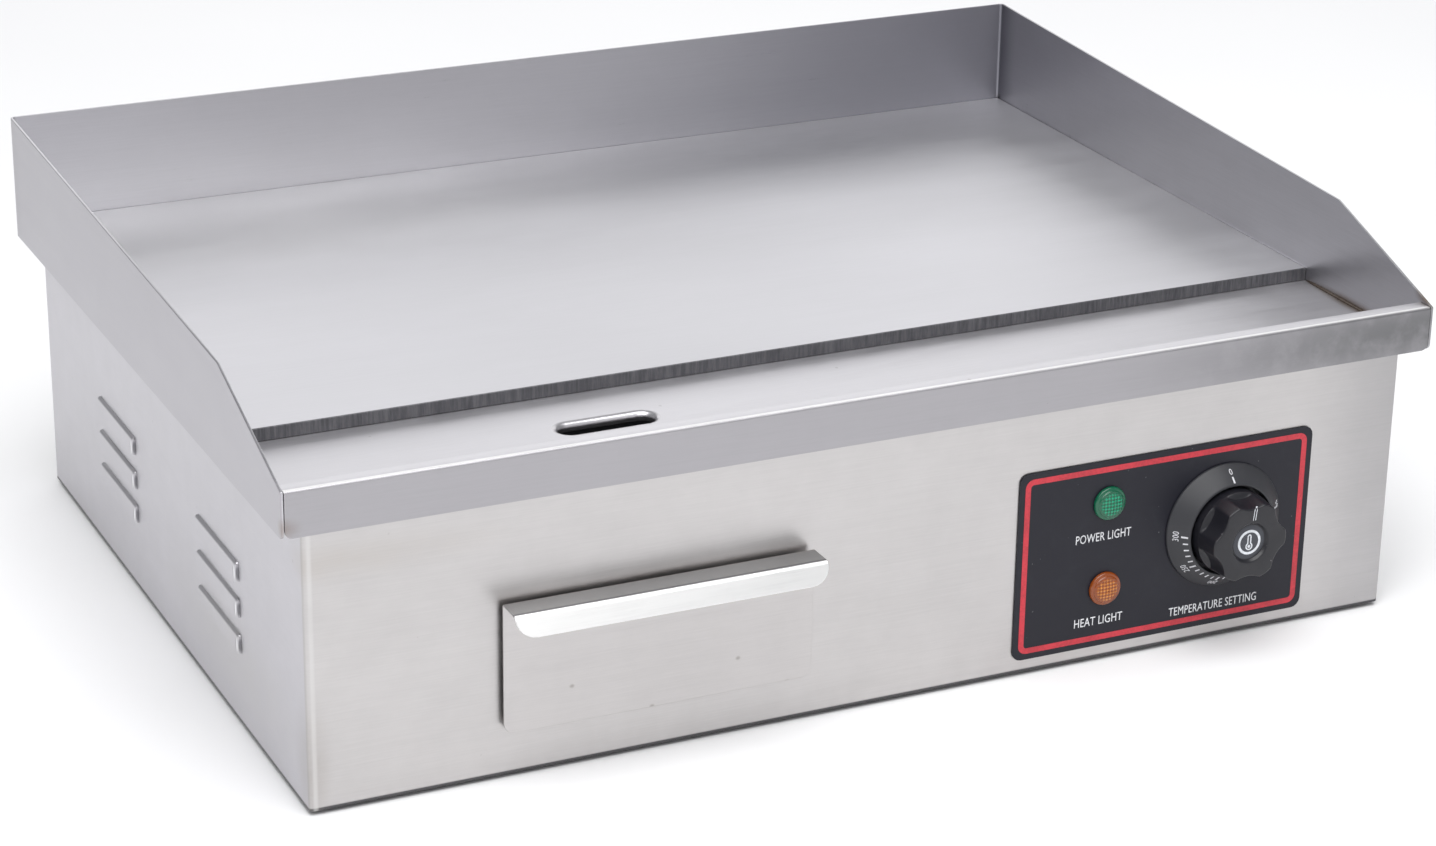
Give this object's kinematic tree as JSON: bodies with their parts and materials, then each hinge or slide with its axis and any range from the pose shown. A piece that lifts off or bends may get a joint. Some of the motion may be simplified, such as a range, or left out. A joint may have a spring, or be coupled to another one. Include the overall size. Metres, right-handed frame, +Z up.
{
  "type": "flat top griddle",
  "caption": "Countertop electric griddle with a flat steel plate, splash guard, grease gutter and pull-out drip drawer, under a steel body with a dial.",
  "frame": {"origin": "centre of the bounding box, on the surface that the four feet stand on", "axes": "+X to the right seen from the front, +Y from the controls to the rear, +Z up"},
  "size_m": [0.55, 0.4226, 0.1898],
  "materials": {
    "stainless": "brushed",
    "griddle_steel": "ground",
    "zinc_steel": "zinc plated",
    "label": "matt film",
    "black_plastic": "fine moulded",
    "green_lens": "clear tinted",
    "amber_lens": "clear tinted",
    "nylon": "natural",
    "ceramic": "unglazed",
    "fibre": "felted",
    "brass": "machined",
    "copper": "drawn copper",
    "element_sheath": "oxidised alloy tube",
    "rubber": "moulded"
  },
  "bodies": {
    "root": {"body_shell": "stainless", "rear_panel": "stainless", "base_plate": "zinc_steel", "splash_guard": "stainless", "gutter_tray": "stainless", "griddle_plate": "griddle_steel", "drain_chute": "stainless", "drawer_rail_left": "zinc_steel", "drawer_rail_right": "zinc_steel", "control_label": "label", "dial_bezel": "black_plastic", "thermostat_body": "ceramic", "power_lamp_lens": "green_lens", "heat_lamp_lens": "amber_lens", "power_lamp_body": "nylon", "heat_lamp_body": "nylon", "heating_element_front": "element_sheath", "heating_element_middle": "element_sheath", "heating_element_rear": "element_sheath", "link_bar_live": "brass", "link_bar_neutral": "brass", "clamp_bar_left": "zinc_steel", "clamp_bar_right": "zinc_steel", "clamp_screw_front_left": "zinc_steel", "clamp_screw_front_right": "zinc_steel", "clamp_screw_rear_left": "zinc_steel", "clamp_screw_rear_right": "zinc_steel", "heat_shield": "zinc_steel", "shield_bolt_left": "zinc_steel", "shield_bolt_right": "zinc_steel", "insulation_blanket": "fibre", "sensor_bulb": "copper", "capillary_tube": "copper", "supply_lead": "nylon", "switched_lead": "nylon", "neutral_lead": "nylon", "terminal_block": "ceramic", "cable_gland": "black_plastic", "gland_locknut": "black_plastic", "foot_front_left": "rubber", "foot_front_right": "rubber", "foot_rear_left": "rubber", "foot_rear_right": "rubber", "foot_screw_front_left": "zinc_steel", "foot_screw_front_right": "zinc_steel", "foot_screw_rear_left": "zinc_steel", "foot_screw_rear_right": "zinc_steel", "rear_screw_lower_left": "zinc_steel", "rear_screw_lower_right": "zinc_steel", "rear_screw_upper_left": "zinc_steel", "rear_screw_upper_right": "zinc_steel", "top_screw_front_left": "zinc_steel", "top_screw_front_right": "zinc_steel", "top_screw_rear_left": "zinc_steel", "top_screw_rear_right": "zinc_steel"},
    "drawer": {"drawer_front": "stainless", "drawer_tray": "stainless"},
    "knob": {"control_knob": "black_plastic", "knob_cap": "black_plastic", "thermostat_shaft": "brass"}
  },
  "joints": [
    {"name": "drawer_slide", "type": "slide", "parent": "root", "child": "drawer", "axis": [0, -1, 0], "range_m": [0, 0.15]},
    {"name": "knob_turn", "type": "hinge", "parent": "root", "child": "knob", "pos_m": [0.1734, -0.2113, 0.0577], "axis": [0, 1, 0], "range_deg": [0, 270]}
  ]
}
